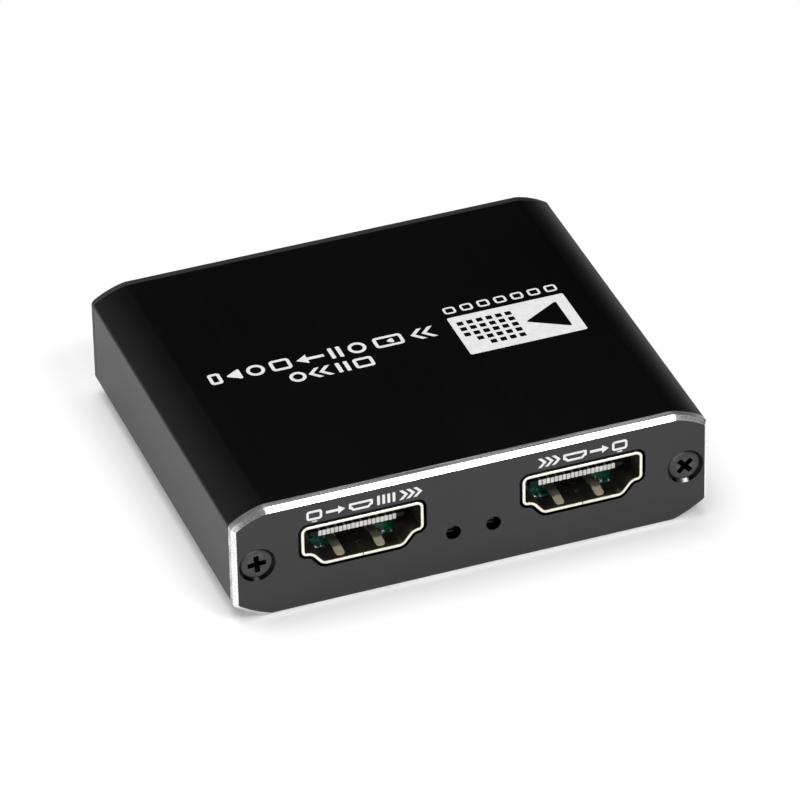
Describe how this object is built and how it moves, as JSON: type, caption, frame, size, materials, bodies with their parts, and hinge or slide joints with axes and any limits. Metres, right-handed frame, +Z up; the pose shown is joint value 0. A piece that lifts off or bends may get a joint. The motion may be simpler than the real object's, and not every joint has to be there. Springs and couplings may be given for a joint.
{
  "type": "video capture box",
  "caption": "Flat black metal box with video input and output sockets at the front, and a data socket and audio jacks at the rear.",
  "frame": {"origin": "centre of the underside, on the surface that the box stands on", "axes": "+X to the right seen from the video sockets, +Y to the rear, +Z up"},
  "size_m": [0.058, 0.0508, 0.0148],
  "materials": {
    "anodised_sleeve": "black anodised, satin",
    "anodised_plate": "black matte face, bright cut bevel",
    "blackened_steel": "black oxide",
    "board_laminate": "green solder mask",
    "plated_shell": "nickel plated",
    "spring_steel": "nickel plated spring",
    "contact_plating": "plated contacts",
    "socket_plastic": "black moulded",
    "data_plastic": "blue moulded",
    "light_resin": "milky resin",
    "chip_resin": "black moulded resin with tinned leads",
    "ceramic": "ceramic with tinned ends",
    "resistor_glaze": "black glaze with tinned ends",
    "ferrite": "pressed iron powder",
    "crystal_can": "metal lid"
  },
  "bodies": {
    "root": {"housing_sleeve": "anodised_sleeve", "front_plate": "anodised_plate", "rear_plate": "anodised_plate", "front_plate_screws": "blackened_steel", "rear_plate_screws": "blackened_steel", "main_board": "board_laminate", "output_socket_shell": "plated_shell", "output_socket_body": "socket_plastic", "output_socket_contacts": "contact_plating", "input_socket_shell": "plated_shell", "input_socket_body": "socket_plastic", "input_socket_contacts": "contact_plating", "data_socket_shell": "plated_shell", "data_socket_body": "data_plastic", "data_socket_contacts": "contact_plating", "mic_jack_body": "socket_plastic", "mic_jack_terminals": "contact_plating", "audio_jack_body": "socket_plastic", "audio_jack_terminals": "contact_plating", "power_light": "light_resin", "signal_light": "light_resin", "capture_chip": "chip_resin", "splitter_chip": "chip_resin", "memory_chip": "chip_resin", "audio_chip": "chip_resin", "voltage_regulators": "chip_resin", "surge_arrays": "chip_resin", "capacitors": "ceramic", "resistors": "resistor_glaze", "power_inductors": "ferrite", "clock_crystals": "crystal_can"},
    "output_finger_left": {"output_socket_finger_left": "spring_steel"},
    "output_finger_right": {"output_socket_finger_right": "spring_steel"},
    "input_finger_left": {"input_socket_finger_left": "spring_steel"},
    "input_finger_right": {"input_socket_finger_right": "spring_steel"},
    "data_finger_left": {"data_socket_finger_left": "spring_steel"},
    "data_finger_right": {"data_socket_finger_right": "spring_steel"},
    "mic_leaf": {"mic_jack_leaf": "spring_steel"},
    "audio_leaf": {"audio_jack_leaf": "spring_steel"}
  },
  "joints": [
    {"name": "output_finger_left_flex", "type": "hinge", "parent": "root", "child": "output_finger_left", "pos_m": [-0.01585, -0.0207, 0.00581], "axis": [1, 0, 0], "range_deg": [0, 7], "stiffness_Nm_per_rad": 0.02},
    {"name": "output_finger_right_flex", "type": "hinge", "parent": "root", "child": "output_finger_right", "pos_m": [-0.01095, -0.0207, 0.00581], "axis": [1, 0, 0], "range_deg": [0, 7], "stiffness_Nm_per_rad": 0.02},
    {"name": "input_finger_left_flex", "type": "hinge", "parent": "root", "child": "input_finger_left", "pos_m": [0.01095, -0.0207, 0.00581], "axis": [1, 0, 0], "range_deg": [0, 7], "stiffness_Nm_per_rad": 0.02},
    {"name": "input_finger_right_flex", "type": "hinge", "parent": "root", "child": "input_finger_right", "pos_m": [0.01585, -0.0207, 0.00581], "axis": [1, 0, 0], "range_deg": [0, 7], "stiffness_Nm_per_rad": 0.02},
    {"name": "data_finger_left_flex", "type": "hinge", "parent": "root", "child": "data_finger_left", "pos_m": [0.0032, 0.0232, 0.01062], "axis": [-1, 0, 0], "range_deg": [0, 4.5], "stiffness_Nm_per_rad": 0.08},
    {"name": "data_finger_right_flex", "type": "hinge", "parent": "root", "child": "data_finger_right", "pos_m": [-0.0032, 0.0232, 0.01062], "axis": [-1, 0, 0], "range_deg": [0, 4.5], "stiffness_Nm_per_rad": 0.08},
    {"name": "mic_leaf_flex", "type": "hinge", "parent": "root", "child": "mic_leaf", "pos_m": [-0.01305, 0.02035, 0.00755], "axis": [0, 0, 1], "range_deg": [0, 4.5], "stiffness_Nm_per_rad": 0.05},
    {"name": "audio_leaf_flex", "type": "hinge", "parent": "root", "child": "audio_leaf", "pos_m": [0.01305, 0.02035, 0.00755], "axis": [0, 0, -1], "range_deg": [0, 4.5], "stiffness_Nm_per_rad": 0.05}
  ]
}
